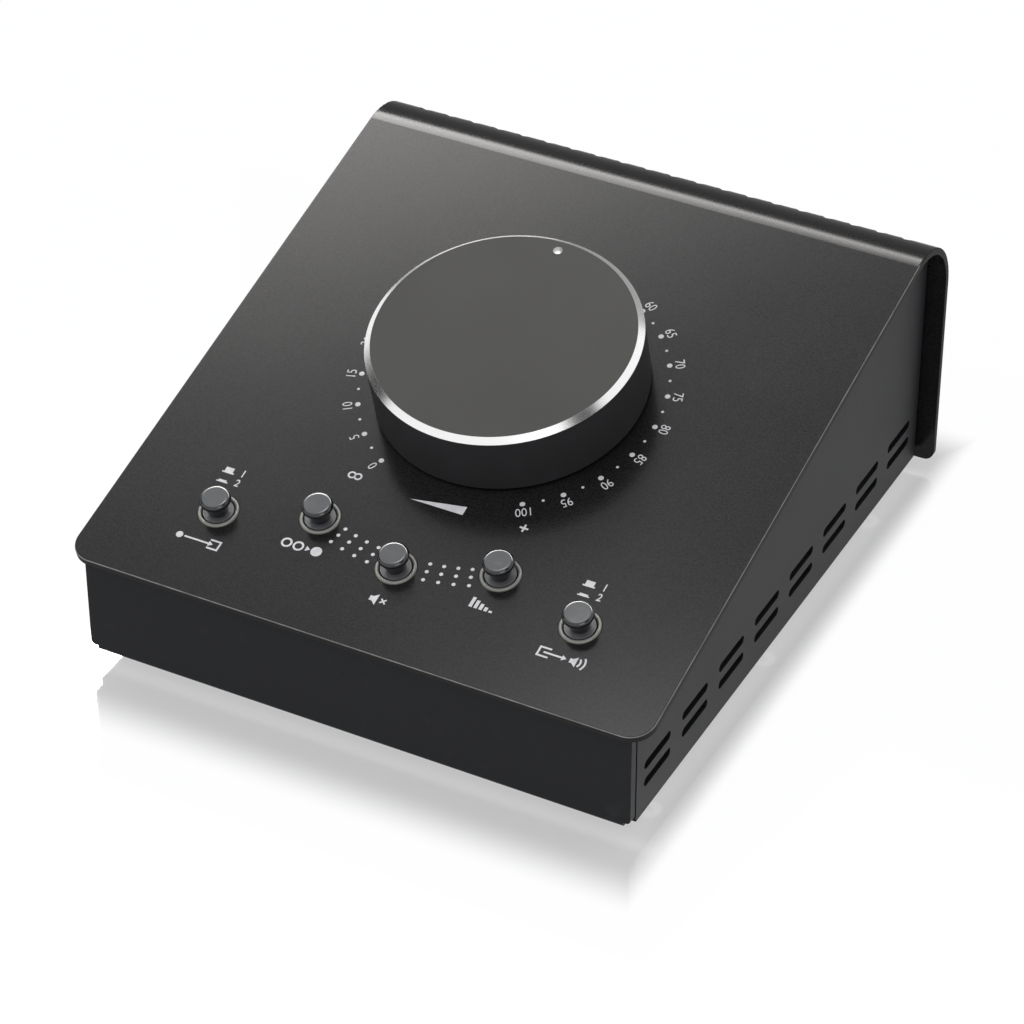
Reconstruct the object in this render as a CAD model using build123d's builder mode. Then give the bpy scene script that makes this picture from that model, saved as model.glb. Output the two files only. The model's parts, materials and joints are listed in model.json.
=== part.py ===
from build123d import *
import math
import os

# Desktop studio monitor controller. Millimetres, X right, Y back, Z up, standing on
# its feet with the origin under the centre of its box.

os.makedirs("parts", exist_ok=True)

# ---- Driving dimensions -------------------------------------------------------

# Folded top cover
cover_width = 136.0
cover_depth = 152.2
cover_sheet = 1.6
front_height = 25.25
slope = 15.0
bend_radius = 15.0
cover_corner = 5.5
hood_drop = 1.8
hood_corner = 2.5
edge_break = 0.3

# Vent slots in the cover's bend
vent_count = 20
vent_margin = 8.0
vent_width = 3.0
vent_top_angle = 24.0
vent_join_angle = 60.0
vent_bottom = 43.0

# Connector window in the hood
window_margin = 11.0
window_bottom = 2.5
window_top = 38.5
window_corner = 2.0

# Rubber feet
stand = 5.0
foot_radius = 7.5
foot_inset = 16.3
foot_setback = 24.0

# Front and base tray
tray_sheet = 2.0
front_recess = 1.8
case_inset = 3.7
tab_drop = 1.3
tab_corner = 1.0
lip_inset = 6.3
lip_depth = 9.0
sheet_gap = 0.2

# Side and rear frame
frame_sheet = 1.5
frame_front_gap = 0.6
hood_gap = 0.95
hood_bend_gap = 0.3
frame_corner = 2.0
flange_width = 10.0
flange_start = 12.0
flange_setback = 20.0
rear_wall_top = 40.5
rear_notch_inset = 2.8

# Side vent slots
side_slot_length = 12.2
side_slot_width = 2.2
side_slot_count = 8
side_slot_first = 13.95
side_slot_last = 14.7
side_slot_rows = (7.6, 12.1)

# Base rails and fasteners of the case
rail_width = 6.0
rail_height = 4.2
rail_start = 8.0
rail_setback = 7.2
tray_screw_inset = 12.0
m3_radius = 1.5
m3_core = 1.25
m3_clear = 1.7
m3_head = 2.75
stud_length = 6.5
sink_angle = 41.0
hex_socket = 1.0
stud_inset = 10.0
nut_flats = 5.5
nut_height = 2.4
hood_screw_margin = 8.0
hood_screw_z = 20.0
hood_screw_radius = 1.0
hood_head_radius = 2.1
hood_screw_length = 4.4
standoff_shoulder = 2.7
standoff_neck = 1.9
standoff_neck_length = 2.5
screw_fit = 0.1

# Volume control
knob_v = 76.17
knob_radius = 30.0
knob_base = 1.0
knob_rim = 14.9
knob_top = 16.0
knob_chamfer = 1.4
knob_wall = 2.7
knob_roof = 3.5
hub_radius = 6.5
boss_radius = 9.0
hub_start = 3.9
dimple_radius = 1.3
dimple_depth = 0.5
dimple_reach = 26.0
shaft_radius = 3.0
shaft_flat = 1.5
shaft_top = 11.2
shaft_low = -9.5
shaft_fit = 0.05
insert_fit = 0.03
collar_radius = 4.0
collar_height = 1.0
collar_gap = 0.1
bushing_radius = 4.5
bushing_top = 3.2
pot_washer_radius = 6.5
pot_washer_height = 0.5
pot_nut_flats = 11.0
pot_nut_height = 2.0
pot_radius = 12.5
pot_wall = 1.0
track_height = 1.2
wiper_top = -4.0
wiper_height = 1.6
wiper_radius = 7.5
wiper_reach = 10.8
wiper_half_angle = 10.0
stop_half_angle = 19.0
contact_radius = 0.6
contact_spread = 0.9
contact_inset = 1.5
pot_pin_pitch = 6.0
pot_pin_near = 4.0
pot_pin_far = 8.0

# Push buttons
button_names = ("source", "mono", "mute", "dim", "monitor")
button_margin = 21.5
button_low = 22.05
button_high = 28.25
button_hole = 4.62
bezel_radius = 4.49
bezel_wall = 0.84
bezel_top = 0.42
cap_radius = 3.4
cap_top = 4.8
cap_break = 0.8
cap_side = 0.3
cap_under = 0.4
neck_radius = 3.0
stem_radius = 2.05
skirt_radius = 3.36
skirt_top = 0.15
skirt_bottom = -2.2
socket_top = 2.6
plunger_half = 1.2
plunger_fit = 0.1
shoulder_half = 2.4
shoulder_height = 1.0
guide_length = 2.4
switch_half = 5.0
switch_top = -4.6
switch_roof = 1.0
switch_floor = 1.0
switch_cavity = 2.6
switch_pin_side = 2.5
switch_pin_step = 3.5
spring_radius = 1.5
spring_wire = 0.18
spring_turns = 4

# Control board
board_top = -12.6
board_sheet = 1.6
board_inset = 14.3
board_front = 11.0
board_setback = 48.2
board_corner = 2.0
board_screw_inset = 5.0
board_screw_end_inset = 19.0
board_screw_middle = 60.0
standoff_radius = 2.75
board_screw_length = 6.0
pin_radius = 0.4
pin_reach = 2.9
pin_hole = 0.5

# Jacks and jack board
jack_columns = 4
jack_pitch = 28.0
jack_rows = (11.5, 29.5)
jack_width = 15.4
jack_height = 14.6
jack_body_depth = 26.0
jack_nose_radius = 4.7
jack_nose_length = 2.45
jack_bore = 3.25
jack_bore_depth = 24.0
jack_hole = 4.9
jack_washer_radius = 7.0
jack_washer_height = 0.4
jack_nut_flats = 14.0
jack_nut_height = 1.6
jack_board_margin = 10.0
jack_pin_step = 4.5
jack_board_low = 4.0
jack_board_high = 38.0

# Ribbon cable between the boards
ribbon_width = 20.0
ribbon_thickness = 0.9
header_half = 11.5
header_height = 5.5
header_depth = 6.0
header_setback = 9.0
header_z = 22.0
ribbon_bend = 5.0

# ---- Planes and derived positions ----------------------------------------------

sine = math.sin(math.radians(slope))
cosine = math.cos(math.radians(slope))
y_front = -cover_depth / 2
y_rear = cover_depth / 2
z_front = stand + front_height
y_tray = y_front + front_recess
y_frame = y_tray + tray_sheet + frame_front_gap
y_wall = y_rear - cover_sheet - hood_gap
y_wall_inner = y_wall - frame_sheet
y_jack_board = y_wall_inner - jack_body_depth
case_half = cover_width / 2 - case_inset
frame_half = case_half - frame_sheet
flange_end = cover_depth - flange_setback
board_half = case_half - board_inset
board_rear = cover_depth - board_setback
y_bend = y_rear - bend_radius
z_bend = z_front + (y_bend - y_front) * sine / cosine - bend_radius / cosine
panel_back = -cover_sheet

# Local x runs right, y runs up the slope and z stands off the panel.
panel = Plane(origin=(0, y_front, z_front), x_dir=(1, 0, 0), z_dir=(0, -sine, cosine))


def spot(u, v):
    """The panel's frame moved to a point on it."""
    return Plane(origin=panel.from_local_coords(Vector(u, v, 0)), x_dir=panel.x_dir, z_dir=panel.z_dir)


def section(place):
    """A cutting plane through a spot's axis: x outward, y along the axis."""
    return Plane(origin=place.origin, x_dir=place.x_dir, z_dir=-place.y_dir)


def slope_point(v, w):
    """A point of the side view, from its place up the slope and off the panel."""
    return (y_front + v * cosine - w * sine, z_front + v * sine + w * cosine)


def bend_point(radius, angle):
    """A point on the cover's bend, with the angle measured from straight up."""
    turn = math.radians(angle)
    return (y_bend + radius * math.sin(turn), z_bend + radius * math.cos(turn))


def save(piece, node):
    """Label a finished piece and write it as its node."""
    piece.part.label = node
    export_step(piece.part, f"parts/{node}.step")


# Views of the base from below (local y runs forward) and of the hood from behind.
base_view = Plane(origin=(0, 0, stand), x_dir=(1, 0, 0), z_dir=(0, 0, -1))
rear_view = Plane(origin=(0, y_rear, stand), x_dir=(-1, 0, 0), z_dir=(0, 1, 0))

screw_x = frame_half - rail_width / 2
screw_y = (cover_depth - rail_start - rail_setback) / 2 - tray_screw_inset
rail_middle = -(rail_start - rail_setback) / 2
tray_screw_spots = [(x, rail_middle + y) for x in (-screw_x, screw_x) for y in (-screw_y, 0, screw_y)]
hood_screw_x = cover_width / 2 - hood_screw_margin
hood_screw_spots = [(x, hood_screw_z) for x in (-hood_screw_x, hood_screw_x)]
stud_u = frame_half - flange_width / 2
stud_v = (flange_start + stud_inset, (flange_start + flange_end) / 2, flange_end - stud_inset)
stud_spots = [(u, v) for u in (-stud_u, stud_u) for v in stud_v]
jack_x = [jack_pitch * (column - (jack_columns - 1) / 2) for column in range(jack_columns)]
jack_spots = [(x, z) for z in jack_rows for x in jack_x]
button_reach = case_half - button_margin
button_u = (-button_reach, -button_reach / 2, 0, button_reach / 2, button_reach)
button_v = (button_low, button_high, button_low, button_high, button_low)
knob_spot = spot(0, knob_v)

# ---- Top cover -------------------------------------------------------------------

inner_bend = bend_radius - cover_sheet
hood_low = stand - hood_drop

with BuildPart() as top_cover:
    with BuildSketch(Plane.YZ):
        with BuildLine():
            Line(slope_point(0, 0), bend_point(bend_radius, -slope))
            CenterArc((y_bend, z_bend), bend_radius, 90 + slope, -(90 + slope))
            Polyline(
                (y_rear, z_bend),
                (y_rear, hood_low),
                (y_rear - cover_sheet, hood_low),
                (y_rear - cover_sheet, z_bend),
            )
            CenterArc((y_bend, z_bend), inner_bend, 0, 90 + slope)
            Polyline(bend_point(inner_bend, -slope), slope_point(0, panel_back), slope_point(0, 0))
        make_face()
    extrude(amount=cover_width / 2, both=True)
    # rounded front corners of the panel and lower corners of the hood
    panel_normal = Axis((0, 0, 0), (0, -sine, cosine))
    fillet(top_cover.edges().filter_by(panel_normal), cover_corner)
    fillet(top_cover.edges().filter_by(Axis.Y).group_by(Axis.Z)[0], hood_corner)
    # broken outer rim, all the way round the panel, bend and hood
    rim_seed = top_cover.faces().sort_by(panel_normal)[-1]
    fillet(rim_seed.outer_wire().edges().filter_by(panel_normal, reverse=True), edge_break)
    # openings in the panel
    with BuildSketch(panel.offset(1)):
        with Locations((0, knob_v)):
            Circle(bushing_radius + sheet_gap)
        with Locations(*zip(button_u, button_v)):
            Circle(button_hole)
    extrude(amount=-(cover_sheet + 2), mode=Mode.SUBTRACT)
    # vent slots, from the crown of the bend down into the hood; their upper ends are cut
    # square to the sheet, because the slots are cut before it is folded
    vent_pitch = (cover_width - 2 * vent_margin) / (vent_count - 1)
    vent_turn = math.radians(vent_top_angle)
    vent_crown = Plane(
        origin=(0, *bend_point(bend_radius, vent_top_angle)),
        x_dir=(-1, 0, 0),
        z_dir=(0, math.sin(vent_turn), math.cos(vent_turn)),
    )
    vent_reach = bend_radius * math.sin(math.radians(vent_join_angle) - vent_turn) + vent_width
    with BuildSketch(vent_crown):
        with Locations((0, -vent_reach / 2)):
            with GridLocations(vent_pitch, 1, vent_count, 1):
                SlotOverall(vent_reach, vent_width, rotation=90)
    extrude(amount=-bend_radius, mode=Mode.SUBTRACT)
    vent_top = bend_point(bend_radius, vent_join_angle)[1] - stand + vent_width / 2
    with BuildSketch(rear_view):
        with Locations((0, (vent_top + vent_bottom) / 2)):
            with GridLocations(vent_pitch, 1, vent_count, 1):
                SlotOverall(vent_top - vent_bottom, vent_width, rotation=90)
    extrude(amount=-bend_radius, mode=Mode.SUBTRACT)
    # connector window and the countersunk screw holes beside it
    with BuildSketch(rear_view):
        with Locations((0, (window_bottom + window_top) / 2)):
            RectangleRounded(cover_width - 2 * window_margin, window_top - window_bottom, window_corner)
    extrude(amount=-(cover_sheet + 1), mode=Mode.SUBTRACT)
    with Locations(rear_view):
        with Locations(*hood_screw_spots):
            CounterSinkHole(
                hood_screw_radius + screw_fit,
                hood_head_radius + screw_fit,
                depth=cover_sheet + 1,
            )

save(top_cover, "top_cover")

# ---- Front and base tray ----------------------------------------------------------

tray_half = frame_half - sheet_gap
tray_rear = y_wall_inner - sheet_gap

with BuildPart() as tray:
    with BuildSketch(Plane.YZ):
        with BuildLine():
            Polyline(
                (y_tray, stand),
                (tray_rear, stand),
                (tray_rear, stand + tray_sheet),
                (y_tray + tray_sheet, stand + tray_sheet),
                (y_tray + tray_sheet, z_front),
                (y_tray, z_front),
                close=True,
            )
        make_face()
    extrude(amount=tray_half, both=True)
    fillet(tray.edges().filter_by(Axis.X).group_by(Axis.Z)[0].sort_by(Axis.Y)[0], edge_break * 3)
    # the front sheet runs on past the bend as a small tab at each lower corner
    with BuildSketch(Plane.XZ.offset(-y_tray)) as front_sheet:
        with Locations((0, stand + tab_drop)):
            Rectangle(2 * case_half, front_height, align=(Align.CENTER, Align.MIN))
        fillet(front_sheet.vertices().group_by(Axis.Z)[0], tab_corner)
    extrude(amount=-tray_sheet)
    # top lip under the panel
    with BuildSketch(panel.offset(panel_back)):
        with Locations((0, front_recess + edge_break)):
            Rectangle(2 * (case_half - lip_inset), lip_depth, align=(Align.CENTER, Align.MIN))
    extrude(amount=-tray_sheet)
    split(bisect_by=panel.offset(panel_back), keep=Keep.BOTTOM)
    # countersunk holes for the screws into the rails
    with Locations(base_view):
        with Locations(*tray_screw_spots):
            CounterSinkHole(m3_clear, m3_head + screw_fit, depth=tray_sheet + 1)

save(tray, "front_base_tray")

# ---- Side and rear frame -----------------------------------------------------------

side_bend = inner_bend - hood_bend_gap
side_bend_angle = math.degrees(math.acos((y_wall - y_bend) / side_bend))

with BuildPart() as frame:
    with BuildSketch(Plane.XY.offset(stand + sheet_gap)):
        with Locations((0, y_wall)):
            Rectangle(2 * case_half, y_wall - y_frame, align=(Align.CENTER, Align.MAX))
    extrude(amount=z_bend + bend_radius)
    fillet(frame.edges().filter_by(Axis.Z).group_by(Axis.Y)[-1], frame_corner)
    open_faces = frame.faces().filter_by(Axis.Z) + frame.faces().sort_by(Axis.Y)[:1]
    offset(amount=-frame_sheet, openings=open_faces)
    # the sides follow the underside of the cover, up the slope and round its bend
    with BuildSketch(Plane.YZ):
        with BuildLine():
            Polyline(
                bend_point(side_bend, -slope),
                bend_point(inner_bend, -slope),
                slope_point(0, panel_back),
                (y_front, stand),
                (y_wall, stand),
                bend_point(side_bend, 90 - side_bend_angle),
            )
            CenterArc((y_bend, z_bend), side_bend, side_bend_angle, 90 + slope - side_bend_angle)
        make_face()
    extrude(amount=cover_width, both=True, mode=Mode.INTERSECT)
    # top flanges that carry the cover
    with BuildSketch(panel.offset(panel_back)):
        for side in (-1, 1):
            with Locations((side * (frame_half - flange_width / 2 + 0.5), (flange_start + flange_end) / 2)):
                Rectangle(flange_width + 1, flange_end - flange_start)
    extrude(amount=-frame_sheet)
    with BuildSketch(panel):
        with Locations(*stud_spots):
            Circle(m3_clear)
    extrude(amount=-stud_length, mode=Mode.SUBTRACT)
    # the rear sheet stops below the vents
    with BuildSketch(rear_view):
        with Locations((0, rear_wall_top)):
            Rectangle(2 * (case_half - rear_notch_inset), bend_radius * 2, align=(Align.CENTER, Align.MIN))
    extrude(amount=-(y_rear - y_wall_inner + frame_corner), mode=Mode.SUBTRACT)
    # holes for the jacks and the hood's standoffs
    with BuildSketch(rear_view):
        with Locations(*jack_spots):
            Circle(jack_hole)
        with Locations(*hood_screw_spots):
            Circle(standoff_neck)
    extrude(amount=-(y_rear - y_wall_inner + 1), mode=Mode.SUBTRACT)
    # two rows of vent slots through both sides
    with BuildSketch(Plane.YZ.offset(-case_half - 1)):
        side_slot_pitch = (cover_depth - side_slot_first - side_slot_last) / (side_slot_count - 1)
        slot_y = (side_slot_first - side_slot_last) / 2
        for row in side_slot_rows:
            with Locations((slot_y, stand + row)):
                with GridLocations(side_slot_pitch, 1, side_slot_count, 1):
                    SlotOverall(side_slot_length, side_slot_width)
    extrude(amount=2 * case_half + 2, mode=Mode.SUBTRACT)

save(frame, "rear_side_frame")

# ---- Base rails, and the fasteners of the case ---------------------------------------

with BuildPart() as rails:
    with BuildSketch(Plane.XY.offset(stand + tray_sheet)):
        with Locations((-screw_x, y_front + rail_start), (screw_x, y_front + rail_start)):
            Rectangle(rail_width, cover_depth - rail_start - rail_setback, align=(Align.CENTER, Align.MIN))
    extrude(amount=rail_height)
    with BuildSketch(base_view):
        with Locations(*tray_screw_spots):
            Circle(m3_core)
    extrude(amount=-(tray_sheet + rail_height), mode=Mode.SUBTRACT)

save(rails, "base_rails")

sink_slope = math.tan(math.radians(sink_angle))

with BuildPart() as tray_screws:
    with BuildSketch(base_view):
        with Locations(*tray_screw_spots):
            Circle(m3_head)
    extrude(amount=-(m3_head - m3_core) / sink_slope, taper=sink_angle)
    with BuildSketch(base_view.offset(-tray_sheet / 2)):
        with Locations(*tray_screw_spots):
            Circle(m3_core)
    extrude(amount=-(tray_sheet / 2 + rail_height - 0.4))
    with BuildSketch(base_view):
        with Locations(*tray_screw_spots):
            RegularPolygon(hex_socket, 6)
    extrude(amount=-hex_socket, mode=Mode.SUBTRACT)

save(tray_screws, "tray_screws")

with BuildPart() as cover_studs:
    with BuildSketch(panel.offset(panel_back)):
        with Locations(*stud_spots):
            Circle(m3_radius)
    extrude(amount=-stud_length)

save(cover_studs, "cover_studs")

with BuildPart() as cover_nuts:
    with BuildSketch(panel.offset(panel_back - frame_sheet)):
        with Locations(*stud_spots):
            RegularPolygon(nut_flats / 2, 6, major_radius=False)
            Circle(m3_radius, mode=Mode.SUBTRACT)
    extrude(amount=-nut_height)

save(cover_nuts, "cover_nuts")

with BuildPart() as hood_standoffs:
    with BuildSketch(rear_view.offset(-cover_sheet)):
        with Locations(*hood_screw_spots):
            Circle(standoff_shoulder)
    extrude(amount=-hood_gap)
    with BuildSketch(rear_view.offset(-cover_sheet - hood_gap)):
        with Locations(*hood_screw_spots):
            Circle(standoff_neck)
    extrude(amount=-standoff_neck_length)
    with BuildSketch(rear_view):
        with Locations(*hood_screw_spots):
            Circle(hood_screw_radius)
    extrude(amount=-cover_depth / 2, mode=Mode.SUBTRACT)

save(hood_standoffs, "hood_standoffs")

with BuildPart() as hood_screws:
    with BuildSketch(rear_view):
        with Locations(*hood_screw_spots):
            Circle(hood_head_radius)
    extrude(amount=-(hood_head_radius - hood_screw_radius) / sink_slope, taper=sink_angle)
    with BuildSketch(rear_view.offset(-cover_sheet / 2)):
        with Locations(*hood_screw_spots):
            Circle(hood_screw_radius)
    extrude(amount=-hood_screw_length)
    with BuildSketch(rear_view):
        with Locations(*hood_screw_spots):
            RegularPolygon(hood_screw_radius * 0.7, 6)
    extrude(amount=-cover_sheet / 2, mode=Mode.SUBTRACT)

save(hood_screws, "hood_screws")

# ---- Rubber feet ------------------------------------------------------------------------

foot_x = case_half - foot_inset

for foot_end, foot_y in (("front", y_front + foot_setback), ("rear", y_rear - foot_setback)):
    for foot_side, x in (("left", -foot_x), ("right", foot_x)):
        with BuildPart() as foot:
            with BuildSketch(Plane.XY):
                with Locations((x, foot_y)):
                    Circle(foot_radius)
            extrude(amount=stand)
            fillet(foot.edges().group_by(Axis.Z)[0], stand / 4)
        save(foot, f"foot_{foot_end}_{foot_side}")

# ---- Volume knob -----------------------------------------------------------------------

knob_ceiling = knob_top - knob_roof
knob_inside = knob_radius - knob_wall

with BuildPart() as volume_knob:
    with BuildSketch(section(knob_spot)):
        with BuildLine():
            Polyline(
                (0, knob_top),
                (knob_radius - knob_chamfer, knob_top),
                (knob_radius, knob_rim),
                (knob_radius, knob_base),
                (knob_inside, knob_base),
                (knob_inside, knob_ceiling),
                (boss_radius, knob_ceiling),
                (boss_radius, hub_start),
                (hub_radius, hub_start),
                (hub_radius, knob_ceiling),
                (0, knob_ceiling),
                close=True,
            )
        make_face()
    revolve(axis=Axis(knob_spot.origin, knob_spot.z_dir))
    with Locations(knob_spot):
        with Locations((0, dimple_reach, knob_top + dimple_radius - dimple_depth)):
            Sphere(dimple_radius, mode=Mode.SUBTRACT)

save(volume_knob, "volume_knob")

with BuildPart() as knob_insert:
    with BuildSketch(knob_spot.offset(hub_start)):
        Circle(hub_radius)
    extrude(amount=knob_ceiling - hub_start)
    # D bore for the flatted shaft
    with BuildSketch(knob_spot.offset(hub_start)):
        Circle(shaft_radius + insert_fit)
        with Locations((0, -2 * shaft_radius - shaft_flat - insert_fit)):
            Rectangle(4 * shaft_radius, 4 * shaft_radius, mode=Mode.SUBTRACT)
    extrude(amount=shaft_top - hub_start + insert_fit * 5, mode=Mode.SUBTRACT)

save(knob_insert, "knob_insert")

# ---- Potentiometer -----------------------------------------------------------------------

pot_roof = panel_back - pot_wall
track_top = board_top + track_height

with BuildPart() as pot_shaft:
    with BuildSketch(knob_spot.offset(shaft_low)):
        Circle(shaft_radius)
    extrude(amount=shaft_top - shaft_low)
    with BuildSketch(knob_spot.offset(pot_roof - collar_gap)):
        Circle(collar_radius)
    extrude(amount=-collar_height)
    with BuildSketch(knob_spot.offset(hub_start)):
        with Locations((0, -2 * shaft_radius - shaft_flat)):
            Rectangle(4 * shaft_radius, 4 * shaft_radius)
    extrude(amount=shaft_top, mode=Mode.SUBTRACT)

save(pot_shaft, "pot_shaft")

with BuildPart() as pot_bushing:
    with BuildSketch(knob_spot.offset(pot_roof)):
        Circle(bushing_radius)
        Circle(shaft_radius + shaft_fit, mode=Mode.SUBTRACT)
    extrude(amount=bushing_top - pot_roof)

save(pot_bushing, "pot_bushing")

with BuildPart() as pot_washer:
    with BuildSketch(knob_spot):
        Circle(pot_washer_radius)
        Circle(bushing_radius + screw_fit, mode=Mode.SUBTRACT)
    extrude(amount=pot_washer_height)

save(pot_washer, "pot_washer")

with BuildPart() as pot_nut:
    with BuildSketch(knob_spot.offset(pot_washer_height)):
        RegularPolygon(pot_nut_flats / 2, 6, major_radius=False)
        Circle(bushing_radius, mode=Mode.SUBTRACT)
    extrude(amount=pot_nut_height)

save(pot_nut, "pot_nut")

with BuildPart() as pot_housing:
    with BuildSketch(knob_spot.offset(panel_back)):
        Circle(pot_radius)
    extrude(amount=board_top - panel_back)
    with BuildSketch(knob_spot.offset(pot_roof)):
        Circle(pot_radius - pot_wall)
    extrude(amount=board_top - pot_roof, mode=Mode.SUBTRACT)
    with BuildSketch(knob_spot):
        Circle(bushing_radius)
    extrude(amount=-cover_sheet * 2, mode=Mode.SUBTRACT)
    # the stop that ends the turn both ways
    with BuildSketch(knob_spot.offset(pot_roof)):
        Circle(pot_radius - pot_wall / 2)
        Circle(wiper_radius + 0.6, mode=Mode.SUBTRACT)
        stop_x = 2 * pot_radius * math.sin(math.radians(stop_half_angle))
        stop_y = 2 * pot_radius * math.cos(math.radians(stop_half_angle))
        Polygon((0, 0), (-stop_x, -stop_y), (stop_x, -stop_y), align=None, mode=Mode.INTERSECT)
    extrude(amount=wiper_top - wiper_height - pot_roof)

save(pot_housing, "pot_housing")

with BuildPart() as pot_track:
    with BuildSketch(knob_spot.offset(board_top)):
        Circle(pot_radius - pot_wall)
    extrude(amount=track_height)

save(pot_track, "pot_track")

with BuildPart() as pot_wiper:
    with BuildSketch(knob_spot.offset(wiper_top)):
        Circle(wiper_reach)
        tab_x = 2 * pot_radius * math.sin(math.radians(wiper_half_angle))
        tab_y = 2 * pot_radius * math.cos(math.radians(wiper_half_angle))
        Polygon((0, 0), (tab_x, tab_y), (-tab_x, tab_y), align=None, mode=Mode.INTERSECT)
        Circle(wiper_radius)
        Circle(shaft_radius, mode=Mode.SUBTRACT)
    extrude(amount=-wiper_height)
    with BuildSketch(knob_spot.offset(wiper_top - wiper_height)):
        contact_v = wiper_reach - contact_inset
        with Locations((-contact_spread, contact_v), (contact_spread, contact_v)):
            Circle(contact_radius)
    extrude(amount=track_top + collar_gap - wiper_top + wiper_height)

save(pot_wiper, "pot_wiper")

pot_pin_columns = (-pot_pin_pitch, 0, pot_pin_pitch)
pot_pin_spots = [(u, knob_v - v) for u in pot_pin_columns for v in (pot_pin_near, pot_pin_far)]

with BuildPart() as pot_pins:
    with BuildSketch(panel.offset(board_top)):
        with Locations(*pot_pin_spots):
            Circle(pin_radius)
    extrude(amount=-pin_reach)

save(pot_pins, "pot_pins")

# ---- Push buttons ----------------------------------------------------------------------------

switch_ceiling = switch_top - switch_roof
switch_deck = board_top + switch_floor
shoulder_top = switch_ceiling - plunger_fit
shoulder_low = shoulder_top - shoulder_height
cap_low = cap_top - cap_break - cap_side
neck_top = cap_low - cap_under
coil_low = switch_deck + spring_wire + plunger_fit / 2
coil_height = shoulder_low - spring_wire - plunger_fit / 2 - coil_low

for button_name, button_place in zip(button_names, [spot(u, v) for u, v in zip(button_u, button_v)]):
    button_axis = Axis(button_place.origin, button_place.z_dir)

    with BuildPart() as cap:
        with BuildSketch(section(button_place)):
            with BuildLine():
                Polyline(
                    (0, skirt_bottom),
                    (0, cap_top),
                    (cap_radius, cap_top),
                    (cap_radius, cap_low),
                    (neck_radius, neck_top),
                    (stem_radius, skirt_top),
                    (skirt_radius, skirt_top),
                    (skirt_radius, skirt_bottom),
                    close=True,
                )
            make_face()
        revolve(axis=button_axis)
        fillet(cap.edges().group_by(button_axis)[-1], cap_break)
        with BuildSketch(button_place.offset(skirt_bottom)):
            Rectangle(2 * plunger_half, 2 * plunger_half)
        extrude(amount=socket_top - skirt_bottom, mode=Mode.SUBTRACT)
    save(cap, f"{button_name}_button_cap")

    with BuildPart() as bezel:
        with BuildSketch(button_place.offset(switch_top)):
            Circle(bezel_radius)
            Circle(bezel_radius - bezel_wall, mode=Mode.SUBTRACT)
        extrude(amount=bezel_top - switch_top)
        fillet(bezel.edges().group_by(button_axis)[-1], 0.49 * bezel_wall)
    save(bezel, f"{button_name}_bezel")

    with BuildPart() as switch:
        with BuildSketch(button_place.offset(board_top)):
            Rectangle(2 * switch_half, 2 * switch_half)
        extrude(amount=switch_top - board_top)
        with BuildSketch(button_place.offset(switch_deck)):
            Rectangle(2 * switch_cavity, 2 * switch_cavity)
        extrude(amount=switch_ceiling - switch_deck, mode=Mode.SUBTRACT)
        with BuildSketch(button_place):
            Rectangle(2 * (plunger_half + plunger_fit), 2 * (plunger_half + plunger_fit))
        extrude(amount=switch_ceiling - plunger_fit, mode=Mode.SUBTRACT)
    save(switch, f"{button_name}_switch_body")

    with BuildPart() as plunger:
        with BuildSketch(button_place.offset(shoulder_low)):
            Rectangle(2 * plunger_half, 2 * plunger_half)
        extrude(amount=socket_top - shoulder_low)
        with BuildSketch(button_place.offset(shoulder_low)):
            Rectangle(2 * shoulder_half, 2 * shoulder_half)
        extrude(amount=shoulder_height)
        with BuildSketch(button_place.offset(shoulder_low)):
            Circle(spring_radius - 3 * spring_wire)
        extrude(amount=-guide_length)
    save(plunger, f"{button_name}_plunger")

    with BuildPart() as spring:
        coil_foot = button_place.from_local_coords(Vector(0, 0, coil_low))
        with BuildLine() as coil:
            Helix(
                pitch=coil_height / spring_turns,
                height=coil_height,
                radius=spring_radius,
                center=coil_foot,
                direction=button_place.z_dir,
            )
        with BuildSketch(Plane(origin=coil.line @ 0, z_dir=coil.line % 0)):
            Circle(spring_wire)
        sweep(path=coil.line, is_frenet=True)
    save(spring, f"{button_name}_spring")

# ---- Control board -----------------------------------------------------------------------------

switch_pin_spots = [
    (u + side * switch_pin_side, v + step * switch_pin_step)
    for u, v in zip(button_u, button_v)
    for side in (-1, 1)
    for step in (-1, 0, 1)
]
board_screw_spots = [
    (side * u, v)
    for side in (-1, 1)
    for u, v in (
        (board_half - board_screw_end_inset, board_front + board_screw_inset),
        (board_half - board_screw_inset, board_screw_middle),
        (board_half - board_screw_end_inset, board_rear - board_screw_inset),
    )
]

with BuildPart() as control_board:
    with BuildSketch(panel.offset(board_top)):
        with Locations((0, (board_front + board_rear) / 2)):
            RectangleRounded(2 * board_half, board_rear - board_front, board_corner)
        with Locations(*board_screw_spots):
            Circle(m3_clear, mode=Mode.SUBTRACT)
        with Locations(*switch_pin_spots, *pot_pin_spots):
            Circle(pin_hole, mode=Mode.SUBTRACT)
    extrude(amount=-board_sheet)

save(control_board, "control_board")

with BuildPart() as switch_pins:
    with BuildSketch(panel.offset(board_top)):
        with Locations(*switch_pin_spots):
            Circle(pin_radius)
    extrude(amount=-pin_reach)

save(switch_pins, "switch_pins")

with BuildPart() as board_standoffs:
    with BuildSketch(panel.offset(panel_back)):
        with Locations(*board_screw_spots):
            Circle(standoff_radius)
    extrude(amount=board_top - panel_back)
    with BuildSketch(panel.offset(board_top)):
        with Locations(*board_screw_spots):
            Circle(m3_core)
    extrude(amount=board_screw_length, mode=Mode.SUBTRACT)

save(board_standoffs, "board_standoffs")

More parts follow.
